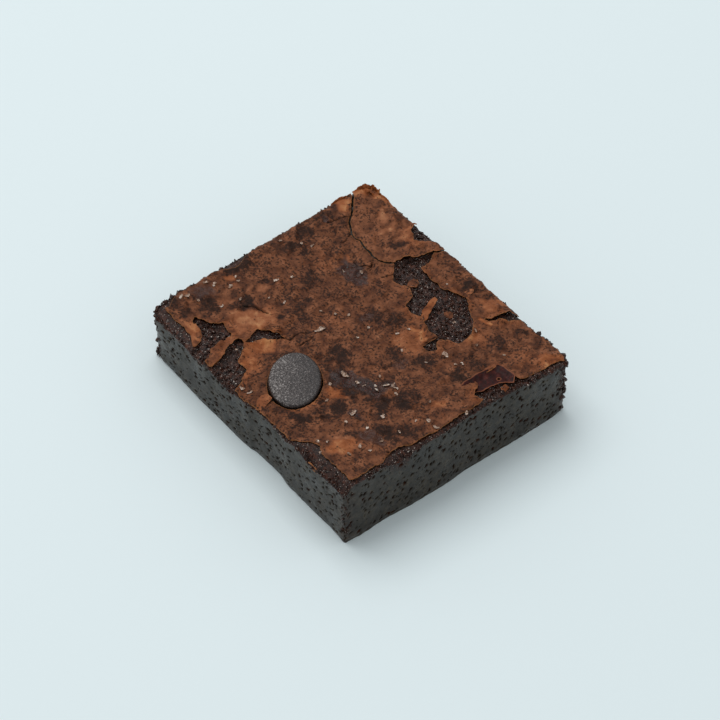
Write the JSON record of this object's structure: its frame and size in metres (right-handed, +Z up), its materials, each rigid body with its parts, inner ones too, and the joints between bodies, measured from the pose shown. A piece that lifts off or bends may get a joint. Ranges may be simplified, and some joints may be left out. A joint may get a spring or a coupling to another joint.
{
  "type": "chocolate brownie",
  "caption": "Rectangular slab of chocolate brownie with a cracked papery crust, knife-cut fudge sides and a dark chocolate button baked into its top.",
  "frame": {"origin": "middle of the flat underside", "axes": "+Z up; +X along the longer cut sides, towards the thicker end; +Y across the slab, away from the button"},
  "size_m": [0.0808, 0.0716, 0.021],
  "materials": {
    "crust_and_crumb": "papery brown meringue crust over dark moist fudge crumb",
    "dark_chocolate": "dark chocolate, grainy and bloomed on top, glossy round the rim"
  },
  "bodies": {
    "root": {"brownie": "crust_and_crumb", "chocolate_button": "dark_chocolate"}
  },
  "joints": []
}
